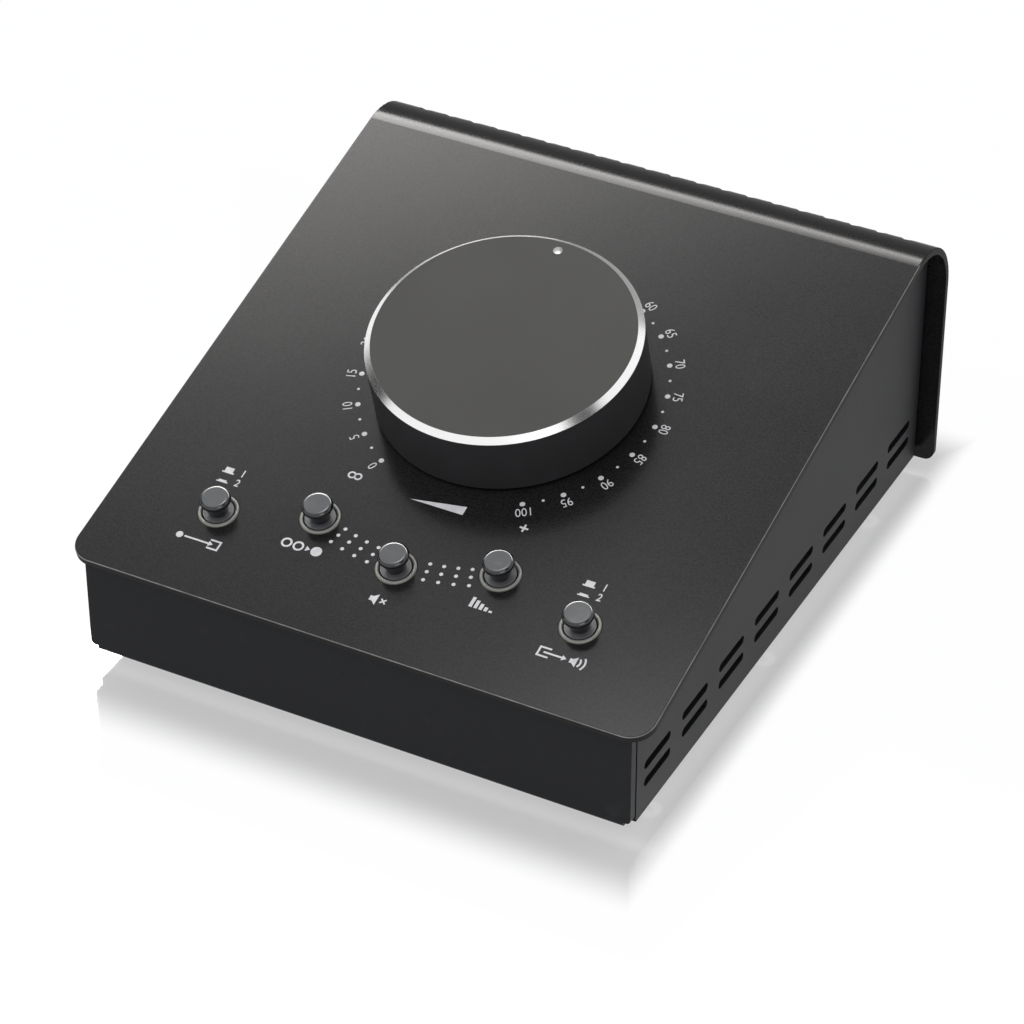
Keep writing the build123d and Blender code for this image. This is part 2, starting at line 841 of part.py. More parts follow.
with BuildPart() as board_screws:
    with BuildSketch(panel.offset(board_top - board_sheet)):
        with Locations(*board_screw_spots):
            Circle(m3_head)
    extrude(amount=-m3_radius)
    with BuildSketch(panel.offset(board_top - board_sheet)):
        with Locations(*board_screw_spots):
            Circle(m3_core)
    extrude(amount=board_sheet + board_screw_length - 0.5)
    with BuildSketch(panel.offset(board_top - board_sheet - m3_radius)):
        with Locations(*board_screw_spots):
            RegularPolygon(hex_socket, 6)
    extrude(amount=hex_socket, mode=Mode.SUBTRACT)

save(board_screws, "board_screws")

# ---- Jacks ----------------------------------------------------------------------------------------

wall_view = rear_view.offset(y_wall - y_rear)
wall_back_view = rear_view.offset(y_wall_inner - y_rear)

for row_name, row_z in zip(("lower", "upper"), jack_rows):
    with BuildPart() as jacks:
        with BuildSketch(wall_back_view):
            with Locations(*[(x, row_z) for x in jack_x]):
                RectangleRounded(jack_width, jack_height, window_corner / 2)
        extrude(amount=-jack_body_depth)
        with BuildSketch(wall_back_view):
            with Locations(*[(x, row_z) for x in jack_x]):
                Circle(jack_nose_radius)
        extrude(amount=frame_sheet + jack_nose_length)
        with BuildSketch(wall_view.offset(jack_nose_length)):
            with Locations(*[(x, row_z) for x in jack_x]):
                Circle(jack_bore)
        extrude(amount=-jack_bore_depth, mode=Mode.SUBTRACT)
        chamfer(jacks.faces().sort_by(Axis.Y)[-len(jack_x):].edges(), edge_break)
    save(jacks, f"{row_name}_jacks")

with BuildPart() as jack_washers:
    with BuildSketch(wall_view):
        with Locations(*jack_spots):
            Circle(jack_washer_radius)
            Circle(jack_hole, mode=Mode.SUBTRACT)
    extrude(amount=jack_washer_height)

save(jack_washers, "jack_washers")

with BuildPart() as jack_nuts:
    with BuildSketch(wall_view.offset(jack_washer_height)):
        with Locations(*jack_spots):
            RegularPolygon(jack_nut_flats / 2, 6, major_radius=False)
            Circle(jack_nose_radius, mode=Mode.SUBTRACT)
    extrude(amount=jack_nut_height)

save(jack_nuts, "jack_nuts")

# ---- Jack board and its pins -----------------------------------------------------------------------

jack_pin_spots = [(x, z + step * jack_pin_step) for x, z in jack_spots for step in (-1, 0, 1)]
jack_board_view = rear_view.offset(y_jack_board - y_rear)

with BuildPart() as jack_board:
    with BuildSketch(jack_board_view):
        with Locations((0, (jack_board_low + jack_board_high) / 2)):
            jack_board_width = jack_x[-1] - jack_x[0] + 2 * jack_board_margin
            RectangleRounded(jack_board_width, jack_board_high - jack_board_low, board_corner)
        with Locations(*jack_pin_spots):
            Circle(pin_hole, mode=Mode.SUBTRACT)
    extrude(amount=-board_sheet)

save(jack_board, "jack_board")

with BuildPart() as jack_pins:
    with BuildSketch(jack_board_view):
        with Locations(*jack_pin_spots):
            Circle(pin_radius)
    extrude(amount=-pin_reach)

save(jack_pins, "jack_pins")

# ---- Ribbon cable and its headers --------------------------------------------------------------------

board_face = board_top - board_sheet
y_board_face = y_jack_board - board_sheet
header_v = board_rear - header_setback
ribbon_start = slope_point(header_v, board_face - header_height)
drop = (ribbon_start[1] - stand - header_z) / cosine
ribbon_turn = (ribbon_start[0] + drop * sine, stand + header_z)

with BuildPart() as ribbon_headers:
    with BuildSketch(panel.offset(board_face)):
        with Locations((0, header_v)):
            Rectangle(2 * header_half, header_depth)
    extrude(amount=-header_height)
    with BuildSketch(jack_board_view.offset(-board_sheet)):
        with Locations((0, header_z)):
            Rectangle(2 * header_half, header_depth)
    extrude(amount=-header_height)

save(ribbon_headers, "ribbon_headers")

with BuildPart() as ribbon_cable:
    with BuildSketch(Plane.YZ):
        with BuildLine():
            FilletPolyline(
                ribbon_start,
                ribbon_turn,
                (y_board_face - header_height, stand + header_z),
                radius=ribbon_bend,
            )
        trace(line_width=ribbon_thickness)
    extrude(amount=ribbon_width / 2, both=True)

save(ribbon_cable, "ribbon_cable")
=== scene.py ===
# %% [markdown]
# # A desktop volume controller, dressed in Blender
# The shapes of the case, the knob, the buttons and everything inside come from a
# CAD model, which is loaded as a fixed frame. This lesson adds what the CAD model
# has no word for: the print on the panel, the finish of every surface, the light
# and the camera. Everything is in metres, X to the right, Y to the rear, Z up.

import json
import math

import bpy
from mathutils import Matrix, Vector

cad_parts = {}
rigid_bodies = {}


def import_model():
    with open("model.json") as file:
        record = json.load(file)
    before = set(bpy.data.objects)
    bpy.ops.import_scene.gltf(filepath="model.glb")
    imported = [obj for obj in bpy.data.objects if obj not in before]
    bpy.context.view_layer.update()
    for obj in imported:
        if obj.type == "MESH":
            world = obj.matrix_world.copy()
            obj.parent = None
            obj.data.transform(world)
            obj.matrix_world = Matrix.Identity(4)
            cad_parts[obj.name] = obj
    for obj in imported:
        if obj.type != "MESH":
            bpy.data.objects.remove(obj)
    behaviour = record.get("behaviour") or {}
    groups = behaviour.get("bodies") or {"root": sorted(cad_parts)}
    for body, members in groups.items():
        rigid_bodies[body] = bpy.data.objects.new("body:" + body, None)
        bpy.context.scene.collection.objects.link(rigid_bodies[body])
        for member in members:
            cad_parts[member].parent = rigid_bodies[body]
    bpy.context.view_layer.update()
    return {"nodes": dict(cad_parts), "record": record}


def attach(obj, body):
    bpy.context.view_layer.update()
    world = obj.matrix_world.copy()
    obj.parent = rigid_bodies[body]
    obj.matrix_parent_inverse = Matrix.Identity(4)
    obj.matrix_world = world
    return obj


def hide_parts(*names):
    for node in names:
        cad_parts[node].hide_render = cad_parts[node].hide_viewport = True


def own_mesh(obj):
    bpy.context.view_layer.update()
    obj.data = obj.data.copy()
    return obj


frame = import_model()

# %% [markdown]
# ## The panel's own plane
# Knob, buttons and print all sit on a sheet that slopes up to the rear. It is
# easiest to draw on it in two coordinates, u to the right and v up the slope,
# and to lay the finished drawing on the sheet with one matrix. The slope and the
# front edge are the only numbers that the matrix needs.

# %% Plane of the panel
mm = 0.001
slope = math.radians(15.0)
front_edge = Vector((0.0, -76.1 * mm, 30.25 * mm))
on_panel = Matrix.Translation(front_edge) @ Matrix.Rotation(slope, 4, "X")
knob_v = 76.17


def panel_point(u, v):
    """A point of the panel, in metres, from its place on the sheet in millimetres."""
    return on_panel @ Vector((u * mm, v * mm, 0.0))


print("knob stands at", [round(c, 4) for c in panel_point(0, knob_v)])

# %% [markdown]
# ## Camera
# A long lens, 85 centimetres off and turned a little to the right of the front,
# shows the panel, the front sheet and the right side at once with hardly any
# perspective. The camera is aimed by its own three axes, because it is rolled by
# a tenth of a degree, which a simple track-to constraint would not give.

# %% Camera
camera_place = Vector((0.33041, -0.63244, 0.54196))
camera_target = Vector((0.01172, -0.025322, 0.035))
camera_roll = math.radians(-0.1107)
lens_length, film_width = 141.745, 36.0   # in millimetres

bpy.ops.object.select_all(action="DESELECT")
bpy.ops.object.camera_add(location=camera_place)
camera = bpy.context.object
camera.name = "camera"
back = (camera_place - camera_target).normalized()
right = Vector((0, 0, 1)).cross(back).normalized()
up = back.cross(right)
side = right * math.cos(camera_roll) + up * math.sin(camera_roll)
top = up * math.cos(camera_roll) - right * math.sin(camera_roll)
camera.rotation_euler = Matrix((side, top, back)).transposed().to_euler()
camera.data.lens = lens_length
camera.data.sensor_width = film_width
camera.data.clip_start = 0.05
bpy.context.scene.camera = camera
print("camera is", round((camera_place - camera_target).length, 3), "m from its target")

# %% [markdown]
# ## Shader arithmetic
# A finish is a small network of nodes. Wiring twenty Math nodes by hand hides
# the idea, so one class wraps an output socket and lets Python's + - * ** stand
# for Math nodes. Everything else comes from one method, which takes the node's
# type, its settings and the values or links of its sockets.

# %% Wires and finishes
class Wire:
    """An output socket; arithmetic on it adds Math nodes to its finish."""

    def __init__(self, finish, socket):
        self.finish = finish
        self.socket = socket

    def math(self, operation, *values):
        sockets = dict(enumerate(values))
        return self.finish.node("ShaderNodeMath", {"operation": operation}, sockets)

    def __add__(self, other):
        return self.math("ADD", self, other)

    __radd__ = __add__

    def __mul__(self, other):
        return self.math("MULTIPLY", self, other)

    __rmul__ = __mul__

    def __sub__(self, other):
        return self.math("SUBTRACT", self, other)

    def __rsub__(self, other):
        return self.math("SUBTRACT", other, self)

    def __pow__(self, other):
        return self.math("POWER", self, other)

    def __abs__(self):
        return self.math("ABSOLUTE", self)


class Finish:
    """A material in the making, named for the real finish."""

    def __init__(self, name):
        self.material = bpy.data.materials.new(name)
        self.material.use_nodes = True
        self.tree = self.material.node_tree
        self.shader = self.tree.nodes["Principled BSDF"]
        self.coordinates = self.node("ShaderNodeTexCoord", output="Object")

    def node(self, kind, settings=None, sockets=None, output=0):
        """Any node: its settings first, then its sockets; gives one output as a wire."""
        made = self.tree.nodes.new(kind)
        for name, value in (settings or {}).items():
            setattr(made, name, value)
        for name, value in (sockets or {}).items():
            self.set(made.inputs, name, value)
        return Wire(self, made.outputs[output])

    def set(self, inputs, name, value):
        """Links a wire to an input socket, or writes a constant on it."""
        by_id = {socket.identifier: socket for socket in inputs}
        socket = inputs[name] if isinstance(name, int) else by_id.get(name) or inputs[name]
        if isinstance(value, Wire):
            self.tree.links.new(value.socket, socket)
        elif hasattr(value, "__len__") and socket.type == "RGBA":
            socket.default_value = (*value, 1.0)
        else:
            socket.default_value = value

    def surface(self, **sockets):
        """Sets the shader's own sockets; an underscore in a name stands for a space."""
        for name, value in sockets.items():
            self.set(self.shader.inputs, name.replace("_", " "), value)

    def end_with(self, shader):
        """Puts another shader's wire in place of the one that every finish starts with."""
        self.set(self.tree.nodes["Material Output"].inputs, "Surface", shader)

    def noise(self, scale, detail=2.0, rough=0.5):
        """Noise with so many patches per metre."""
        place = self.coordinates
        sockets = {"Vector": place, "Scale": scale, "Detail": detail, "Roughness": rough}
        return self.node("ShaderNodeTexNoise", None, sockets)

    def between(self, value, low, high, start=0.0, end=1.0):
        """Follows a value from low to high with a smooth step from start to end."""
        ends = {"From Min": low, "From Max": high, "To Min": start, "To Max": end}
        smooth = {"interpolation_type": "SMOOTHSTEP"}
        return self.node("ShaderNodeMapRange", smooth, {"Value": value, **ends})

    def blend(self, mask, first, second):
        """Mixes two colours by a mask."""
        sockets = {"Factor_Float": mask, "A_Color": first, "B_Color": second}
        return self.node("ShaderNodeMix", {"data_type": "RGBA"}, sockets, output=2)

    def relief(self, height, strength, depth):
        """A bump of a given depth in metres."""
        sockets = {"Height": height, "Strength": strength, "Distance": depth}
        return self.node("ShaderNodeBump", None, sockets)

    def local(self, centre=(0, 0, 0), turn=(0, 0, 0)):
        """Object coordinates seen from a place of one's own: x, y and z as three wires."""
        sockets = {"Vector": self.coordinates, "Location": centre, "Rotation": turn}
        seen = self.node("ShaderNodeMapping", {"vector_type": "TEXTURE"}, sockets)
        split = self.node("ShaderNodeSeparateXYZ", None, {"Vector": seen}).socket.node
        return [Wire(self, output) for output in split.outputs]


def linear(code):
    """A hexadecimal display colour as the linear numbers that a shader takes."""
    levels = [int(code[digit:digit + 2], 16) / 255 for digit in (1, 3, 5)]
    return tuple(c / 12.92 if c <= 0.04045 else ((c + 0.055) / 1.055) ** 2.4 for c in levels)


print("mid grey in a shader is", [round(c, 3) for c in linear("#808080")])

# %% [markdown]
# ## Floor and room
# A product is shown on a pale polished table in a white room. The floor is a wide
# plane, nearly white, half paint and half mirror, so that the case has an image
# below it. To the camera and to shiny surfaces it also glows: a little more where
# the case shades it most, and then with every millimetre away from the case, so
# that the image is an even grey that fades into white. The room is the world: those
# rays see white, while matt surfaces get a plain, weaker light.

# %% Floor
bpy.ops.object.select_all(action="DESELECT")
bpy.ops.mesh.primitive_plane_add(size=12.0, location=(0, 0, 0))
floor = bpy.context.object
floor.name = "floor"

mirror_share = 0.5
side_wall, front_wall = 62.0 * mm, 71.0 * mm   # where the walls shade the floor most
shade_reach = 5.0 * mm
fade_from_side, fade_from_front = 63.0 * mm, 73.1 * mm
fade_start, fade_end = 6.0 * mm, 20.0 * mm

table_top = Finish("polished_white_table")
table_top.surface(Base_Color=(0.96, 0.96, 0.965), Roughness=0.5, Specular_IOR_Level=0.0)
mirror = table_top.node("ShaderNodeBsdfGlossy", None, {"Color": (1, 1, 1), "Roughness": 0.07})
painted = Wire(table_top, table_top.shader.outputs[0])
coated = table_top.node("ShaderNodeMixShader", None, {0: mirror_share, 1: painted, 2: mirror})
lit = {"Color": (0.995, 0.996, 1.0), "Strength": 1.0}
lit_table = table_top.node("ShaderNodeEmission", None, lit)
ray = table_top.node("ShaderNodeLightPath").socket.node.outputs
kinds = ("Is Camera Ray", "Is Glossy Ray", "Is Transmission Ray")
seen = sum(Wire(table_top, ray[kind]) for kind in kinds)
x, y = table_top.local()[:2]
beside_wall = x.math("MAXIMUM", (abs(x) - side_wall) * 0.5, abs(y) - front_wall)
under_case = table_top.between(beside_wall, 0.0, shade_reach, 0.50, 0.31)
away = x.math("MAXIMUM", (abs(x) - fade_from_side) * 2.0, abs(y) - fade_from_front)
glow_share = table_top.between(away, fade_start, fade_end, under_case, 0.99)
mix = {0: seen * glow_share, 1: coated, 2: lit_table}
table_top.end_with(table_top.node("ShaderNodeMixShader", None, mix))
floor.data.materials.append(table_top.material)
print("floor is", floor.dimensions.x, "m wide")

# %% World
room_light = 0.60
world = bpy.data.worlds.new("white_room")
bpy.context.scene.world = world
world.use_nodes = True
room = world.node_tree
room.nodes.clear()


def larger(first, second):
    """The larger of two sockets' values."""
    made = room.nodes.new("ShaderNodeMath")
    made.operation = "MAXIMUM"
    room.links.new(first, made.inputs[0])
    room.links.new(second, made.inputs[1])
    return made.outputs[0]


def white_background(strength):
    """A white background of one strength."""
    made = room.nodes.new("ShaderNodeBackground")
    made.inputs["Color"].default_value = (1, 1, 1, 1)
    made.inputs["Strength"].default_value = strength
    return made.outputs[0]


path = room.nodes.new("ShaderNodeLightPath").outputs
sees_image = larger(path["Is Camera Ray"], path["Is Glossy Ray"])
sees_room = larger(sees_image, path["Is Transmission Ray"])
either = room.nodes.new("ShaderNodeMixShader")
for place, socket in enumerate((sees_room, white_background(room_light), white_background(1.0))):
    room.links.new(socket, either.inputs[place])
room_end = room.nodes.new("ShaderNodeOutputWorld")
room.links.new(either.outputs[0], room_end.inputs["Surface"])
print("room light", room_light)

# %% [markdown]
# ## Lamps, glows and flags
# A black object is lit by what it mirrors, so the light is split as in a product
# studio. One large softbox above the front lights matt surfaces, with soft shadows.
# Glow cards, which only shiny surfaces see, put the bright strip on the bend and
# the fade across the panel; each is brightest in its middle and gone at its rim.
# Flags are black or grey cards that put the dark edges into metal, gloss and hood.


# %% Softbox
def softbox(name, place, target, width, height, watts):
    """A rectangular lamp aimed at a point, for matt surfaces only."""
    bpy.ops.object.select_all(action="DESELECT")
    bpy.ops.object.light_add(type="AREA", location=place)
    lamp = bpy.context.object
    lamp.name = name
    lamp.data.shape = "RECTANGLE"
    lamp.data.size, lamp.data.size_y = width, height
    lamp.data.energy = watts
    lamp.visible_camera = lamp.visible_glossy = False
    lamp.rotation_euler = (Vector(target) - Vector(place)).to_track_quat("-Z", "Y").to_euler()


softbox("front_softbox", (-0.20, -0.50, 1.05), (0.0, 0.0, 0.03), 0.7, 0.6, 5.2)
bpy.context.scene.view_settings.view_transform = "Standard"


# %% Glow cards and flags
def card(name, place, target, width, height):
    """A flat card aimed at a point, seen by nothing but shiny surfaces."""
    bpy.ops.object.select_all(action="DESELECT")
    bpy.ops.mesh.primitive_plane_add(size=1.0, location=place)
    made = bpy.context.object
    made.name = name
    made.scale = (width, height, 1)
    made.rotation_euler = (Vector(place) - Vector(target)).to_track_quat("Z", "Y").to_euler()
    made.visible_camera = made.visible_diffuse = False
    made.visible_transmission = made.visible_shadow = False
    return made


def glow_card(name, place, target, width, height, strength, heart=0.0, tint=(1, 1, 1)):
    """A card of light: full within its heart, fading to nothing at its rim."""
    glow = Finish(name)
    x, y = glow.local()[:2]
    reach = ((x * x + y * y) ** 0.5) * 2.0
    fade = glow.between(reach, heart, 1.0, strength, 0.0)
    light = glow.node("ShaderNodeEmission", None, {"Color": tint, "Strength": fade})
    clear = glow.node("ShaderNodeBsdfTransparent")
    glow.tree.nodes.remove(glow.shader)
    glow.end_with(glow.node("ShaderNodeAddShader", None, {0: light, 1: clear}))
    card(name, place, target, width, height).data.materials.append(glow.material)


def flag(name, place, target, width, height, level=0.0):
    """A card of one even level: black, or a grey between black and the white room."""
    even = Finish(name)
    even.tree.nodes.remove(even.shader)
    even.end_with(even.node("ShaderNodeEmission", None, {"Strength": level}))
    card(name, place, target, width, height).data.materials.append(even.material)


warm = (1.0, 0.98, 0.95)
case_middle = (0.0, 0.0, 0.06)
window_place, window_target = (-0.72, 0.80, 1.0), (-0.72, 0.80, 0.0)
strip_place, strip_target = (0.02, 0.721, 0.87), (0.0, 0.06, 0.07)
glow_card("window_glow", window_place, window_target, 1.12, 1.12, 20.5, tint=warm)
glow_card("strip_glow", strip_place, strip_target, 1.1, 0.31, 11.0, heart=0.4, tint=warm)
glow_card("front_glow", (-0.256, 0.15, 0.98), (-0.256, 0.15, 0.0), 0.30, 0.30, 8.5)
glow_card("rim_glow", (0.617, -0.68, 0.56), (0.0, -0.06, 0.05), 0.8, 0.5, 5.0)
flag("rear_flag", (-0.04, 0.16, 0.0965), (-0.04, 0.0, 0.0965), 0.26, 0.133, level=0.33)
flag("right_flag", (0.43, -0.14, 0.49), case_middle, 0.2, 0.4)
flag("left_flag", (-0.52, -0.05, 0.31), case_middle, 0.36, 0.34)
names = [o.name for o in bpy.context.scene.objects]
print("cards:", [name for name in names if name.endswith(("_glow", "_flag"))])

# %% [markdown]
# ## Powder coat
# The case is steel, powder-coated in two blacks: the cover slightly warm, the
# tray and the sides slightly blue. Under a lens the coat has a fine grain, where
# the powder flowed together, over a longer, softer waviness. Both are noise of
# the right scale, used as bump. Along the upper edge of the cover's sheet runs a
# broken pale line, a painted highlight, and its cut face is duller and painted
# darker, as painted shade: the distance from the centre of a rounded corner,
# which grows the same way towards a side and the front, finds both.

# %% Powder coat of the cover
half_width = 68.0 * mm
corner = 5.5 * mm

coat = Finish("satin_powder_coat")
grain = coat.noise(2600, 2.0, 0.6)
waviness = coat.noise(420, 1.0)
cloud = coat.noise(38, 3.0)
x, y, z = coat.local(front_edge, (slope, 0, 0))
past_side = x.math("MAXIMUM", abs(x) - (half_width - corner), 0.0)
past_front = x.math("MAXIMUM", corner - y, 0.0)
from_corner = (past_side * past_side + past_front * past_front) ** 0.5
outward = coat.between(from_corner, corner - 0.22 * mm, corner - 0.12 * mm)
on_cut = outward * coat.between(z, -0.15 * mm, -0.25 * mm)
# painted highlight: a pale line along the upper edge of the sheet, broken by noise
highlight_breaks = coat.between(coat.noise(300), 0.3, 0.7, 0.5, 0.8)
edge_highlight = outward * coat.between(z, -0.22 * mm, -0.14 * mm) * highlight_breaks
powder = coat.between(grain, 0.34, 0.66)
body = coat.blend(cloud * 0.3 + powder * 0.7, linear("#121213"), linear("#252526"))
# the cut face painted near black: painted shade, besides its higher roughness
cut_face_shaded = coat.blend(on_cut, body, linear("#0b0b0c"))
coat.surface(
    Base_Color=coat.blend(edge_highlight, cut_face_shaded, linear("#9a9a98")),
    Roughness=grain * 0.06 + cloud * 0.03 + on_cut * 0.45 + 0.13,
    Specular_IOR_Level=0.21,
    Normal=coat.relief(grain * 0.7 + waviness * 0.3, 0.3, 0.016 * mm),
)
print("cover coat has", len(coat.tree.nodes), "nodes")

# %% Powder coat of the tray and the sides
under = Finish("satin_powder_coat_blue_black")
grain = under.noise(2900, 2.0, 0.6)
waviness = under.noise(500, 1.0)
cloud = under.noise(45, 3.0)
dust = under.between(under.noise(160, 4.0, 0.7), 0.58, 0.8)
body = under.blend(cloud, linear("#151619"), linear("#191a1d"))
under.surface(
    Base_Color=under.blend(dust * 0.25, body, linear("#3a3b3d")),
    Roughness=grain * 0.08 + cloud * 0.06 + 0.42,
    Specular_IOR_Level=0.14,
    Normal=under.relief(grain * 0.7 + waviness * 0.4, 0.3, 0.018 * mm),
)
print("chassis coat has", len(under.tree.nodes), "nodes")

# %% [markdown]
# ## Knob
# The knob is turned from aluminium and anodised. Its face is blasted to a matt
# grey, the wall is black, and the edge and the small mark are cut last, with a
# diamond tool, so they are bare bright metal. One material does it all: it asks
# where on the knob a point lies, from coordinates that sit on the knob's axis.

# %% Knob finish
rim_height, top_height = 14.9, 16.0   # above the panel; these six in millimetres
face_radius = 28.6
mark_reach, mark_radius = 26.0, 1.0

turned = Finish("anodised_knob")
x, y, z = turned.local(panel_point(0, knob_v), (slope, 0, 0))
radius = (x * x + y * y) ** 0.5
on_top = turned.between(z, (top_height - 0.1) * mm, (top_height - 0.03) * mm)
inside_edge = turned.between(radius, (face_radius + 0.06) * mm, face_radius * mm)
face = on_top * inside_edge
above_wall = turned.between(z, (rim_height - 0.04) * mm, (rim_height + 0.02) * mm)
on_edge = above_wall * (1 - face)
from_mark = (x * x + (y - mark_reach * mm) ** 2.0) ** 0.5
in_mark = turned.between(from_mark, (mark_radius + 0.06) * mm, mark_radius * mm)
bright = on_edge * (1 - in_mark) + in_mark
blast = turned.noise(3400, 2.0, 0.6)
across = {"W": radius, "Scale": 9000.0, "Detail": 2.0}
rings = turned.node("ShaderNodeTexNoise", {"noise_dimensions": "1D"}, across)
handling = turned.between(turned.noise(55, 4.0, 0.6), 0.4, 0.75)
grey_face = turned.blend(blast, linear("#333331"), linear("#383836"))
black_wall = turned.blend(handling, linear("#2d2d2f"), linear("#343436"))
up_edge = turned.between(z, rim_height * mm, (rim_height + 0.3) * mm)
skin = turned.blend(up_edge, black_wall, grey_face)
bare_metal = turned.blend(in_mark, (0.9, 0.9, 0.9), linear("#b4b4b2"))
skin_roughness = (1 - bright) * (0.52 + blast * 0.08 + handling * 0.04)
metal_roughness = bright * (rings * 0.04 + 0.19) + in_mark * 0.3
cut_rings = rings * (bright - in_mark) * 0.2
turned.surface(
    Base_Color=turned.blend(bright, skin, bare_metal),
    Metallic=bright,
    Roughness=skin_roughness + metal_roughness,
    Specular_IOR_Level=0.18,
    Normal=turned.relief(blast * (1 - bright) + cut_rings, 0.25, 0.012 * mm),
)
print("knob finish has", len(turned.tree.nodes), "nodes")

# %% [markdown]
# ## Button rings and caps
# A ring of satin nickel stands in each hole; its grey is even, with faint turning
# marks. The caps are moulded in black; their tops are painted a lighter grey, as
# painted sheen for the light that they face, under a clear lacquer, their stems
# are plain, and the flange that shows inside the ring is matt and painted pale
# grey, as a painted reflection of the room. Fingers leave thin, slightly duller smears.

# %% Ring and cap finishes
ring = Finish("satin_nickel_ring")
mottle = ring.noise(700, 3.0)
fine = ring.noise(5200, 2.0, 0.6)
ring.surface(
    Base_Color=ring.blend(mottle, linear("#7b7b77"), linear("#868682")),
    Metallic=0.3,
    Roughness=fine * 0.12 + mottle * 0.06 + 0.42,
    Normal=ring.relief(fine, 0.25, 0.01 * mm),
)

cap_face, flange_face = 4.78, 0.32   # heights above the panel, in millimetres
gloss = Finish("polished_black_cap")
x, y, z = gloss.local(front_edge, (slope, 0, 0))
smear = gloss.between(gloss.noise(420, 4.0, 0.65), 0.45, 0.8)
flow = gloss.noise(900, 1.0)
on_top = gloss.between(z, (cap_face - 0.08) * mm, cap_face * mm)
on_flange = gloss.between(z, flange_face * mm, (flange_face - 0.10) * mm)
moulded = gloss.blend(smear, linear("#17181a"), linear("#1f2124"))
# painted sheen: the tops lighter grey for the light that they face
with_painted_top_sheen = gloss.blend(on_top, moulded, linear("#404347"))
# the flange pale grey: a painted reflection of the room on the black moulding
gloss.surface(
    Base_Color=gloss.blend(on_flange, with_painted_top_sheen, linear("#58595c")),
    Roughness=smear * 0.10 + on_flange * 0.4 + 0.10,
    Coat_Weight=on_top * 0.65 - on_flange * 0.3 + 0.35,
    Coat_Roughness=0.05,
    Specular_IOR_Level=0.5,
    Normal=gloss.relief(flow, 0.15, 0.01 * mm),
)
print("ring and cap finishes made")

# %% [markdown]
# ## Finishes behind and inside
# The sockets, switches, boards and fasteners are seen from behind, through the
# window, or when the case is opened. Each has its own recipe of base colour,
# metal or not, roughness, grain size and the contrast of its patches, so one
# function serves them all and the recipes can be read as a table.


# %% Workshop finishes
def workshop_finish(name, dark, light, metal, rough, patches, grit, depth):
    """A finish with patchy colour, uneven gloss and a fine grain."""
    made = Finish(name)
    patch = made.noise(patches, 4.0, 0.6)
    fleck = made.noise(grit, 2.0, 0.6)
    made.surface(
        Base_Color=made.blend(patch, linear(dark), linear(light)),
        Metallic=metal,
        Roughness=patch * 0.12 + fleck * 0.06 + rough,
        Normal=made.relief(fleck + patch * 0.6, 0.3, depth * mm),
    )
    return made.material


# slot: name, dark, light, metal, roughness, patches and grit per metre, depth in mm
recipes = {
    "plated_steel": ("zinc_plate", "#9a9a94", "#bdbdb8", 0.9, 0.24, 260, 2400, 0.012),
    "insert_plastic": ("grey_moulding", "#2a2a2c", "#363638", 0.0, 0.45, 180, 1800, 0.02),
    "plunger_plastic": ("white_acetal", "#d4d3cc", "#e0dfd8", 0.0, 0.35, 150, 1500, 0.01),
    "switch_plastic": ("black_moulding", "#141415", "#1e1e20", 0.0, 0.42, 220, 2200, 0.02),
    "jack_plastic": ("socket_moulding", "#121213", "#1d1d1f", 0.0, 0.38, 240, 2000, 0.02),
    "jack_plating": ("nickel_nut", "#a8a7a0", "#c6c5be", 0.95, 0.16, 300, 3200, 0.008),
    "spring_steel": ("spring_wire", "#8d8d8b", "#b4b4b1", 0.95, 0.22, 500, 4000, 0.006),
    "pin_metal": ("tinned_brass", "#a8935c", "#cbb780", 0.9, 0.25, 600, 3600, 0.006),
    "foot_rubber": ("foot_rubber", "#161616", "#232323", 0.0, 0.7, 200, 1400, 0.03),
}
inside = {slot: workshop_finish(*recipe) for slot, recipe in recipes.items()}
print("workshop finishes:", len(inside))

# %% [markdown]
# A circuit board is green because solder mask is a thin lacquer over copper: the
# tracks show as slightly lighter lines. A brick texture of very long bricks is close
# enough to a bundle of parallel tracks. The flat cable is ribbed: a fine wave along X
# gives its twenty wires, of which the first is red.

# %% Boards and flat cable
lacquer = Finish("green_solder_mask")
layout = {"Scale": 60.0, "Mortar Size": 0.012, "Brick Width": 1.7, "Row Height": 0.11}
layout["Vector"] = lacquer.coordinates
tracks = lacquer.node("ShaderNodeTexBrick", {"offset": 0.37}, layout, output="Fac")
mottle = lacquer.noise(300, 3.0)
mask_green = lacquer.blend(mottle, linear("#0f4a2c"), linear("#15573a"))
lacquer.surface(
    Base_Color=lacquer.blend(tracks * 0.8, mask_green, linear("#2c7a54")),
    Roughness=mottle * 0.12 + 0.25,
    Normal=lacquer.relief(tracks + mottle * 0.2, 0.4, 0.03 * mm),
)

flat_cable = Finish("grey_flat_cable")
x = flat_cable.local()[0]
ribs = x.math("SINE", x * (math.pi / mm))
soil = flat_cable.noise(240, 3.0)
first_wire = flat_cable.between(x, -8.9 * mm, -9.1 * mm)
grey = flat_cable.blend(soil, linear("#7d7f84"), linear("#8f9196"))
flat_cable.surface(
    Base_Color=flat_cable.blend(first_wire, grey, linear("#8c2a22")),
    Roughness=soil * 0.15 + 0.45,
    Normal=flat_cable.relief(abs(ribs), 0.6, 0.1 * mm),
)
inside["board"] = lacquer.material
inside["ribbon"] = flat_cable.material
print("boards and cable done")

# %% [markdown]
# ## Dressing the CAD nodes
# The record says which finish each node has, under the name of its material
# slot. The CAD objects are not touched except for the material in their slots.

# %% Materials onto nodes
dress = {
    "cover_paint": coat.material,
    "chassis_paint": under.material,
    "knob_metal": turned.material,
    "bezel_metal": ring.material,
    "cap_plastic": gloss.material,
    **inside,
}
for entry in frame["record"]["subparts"]:
    node = frame["nodes"][entry["node"]]
    for slot in node.material_slots:
        slot.material = dress[entry["material_slot"]]
